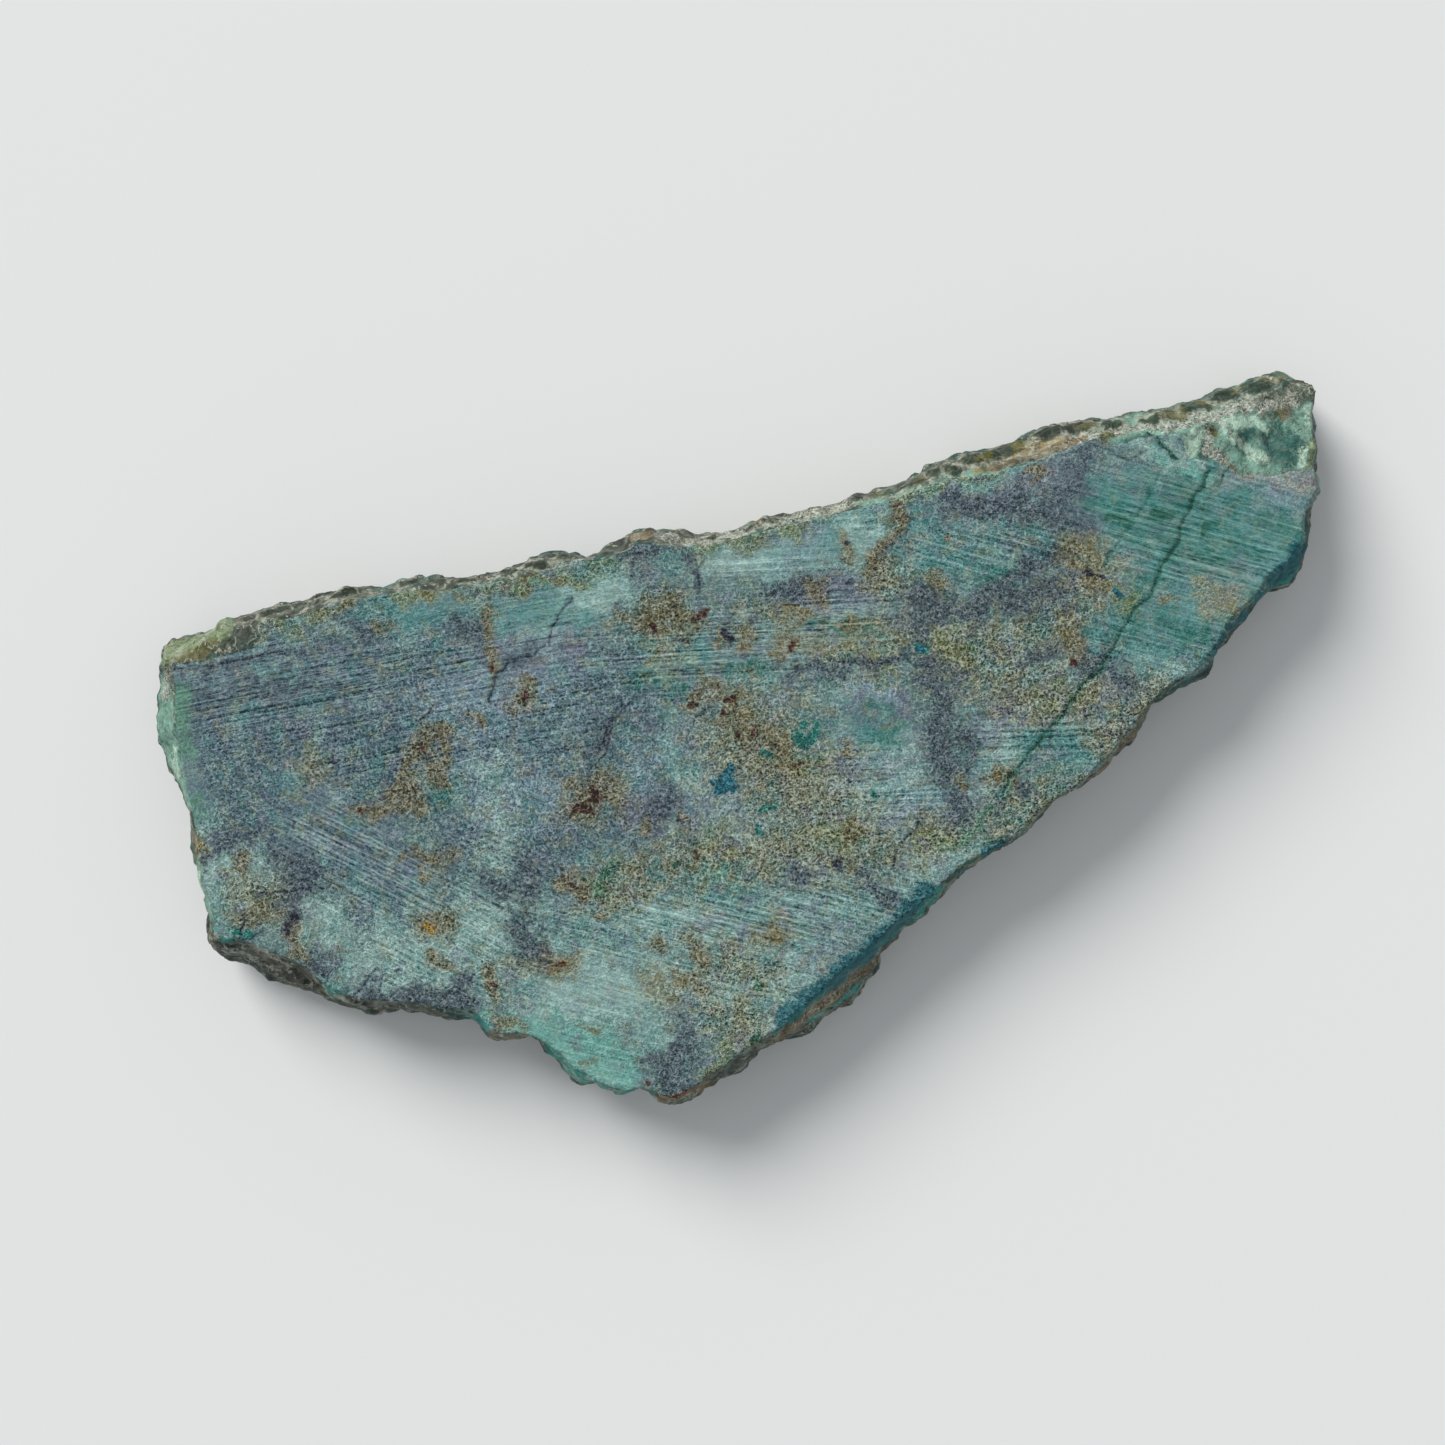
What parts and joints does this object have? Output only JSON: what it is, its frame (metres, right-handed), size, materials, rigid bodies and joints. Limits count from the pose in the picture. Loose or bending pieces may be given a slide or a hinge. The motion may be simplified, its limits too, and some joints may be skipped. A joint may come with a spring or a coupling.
{
  "type": "rough turquoise slice",
  "caption": "Flat slice of rough turquoise with a sawn face and back and its lumpy natural skin left round the edge; lies flat.",
  "frame": {"origin": "centre of the bounding box, on the sawn back that the slice rests on", "axes": "+Z out of the sawn face, up; +X along the long, nearly straight edge, towards the narrow tip; +Y from the pointed side to the long edge"},
  "size_m": [0.0914, 0.044, 0.008],
  "materials": {
    "turquoise": "sawn, matt"
  },
  "bodies": {
    "root": {"turquoise": "turquoise"}
  },
  "joints": []
}
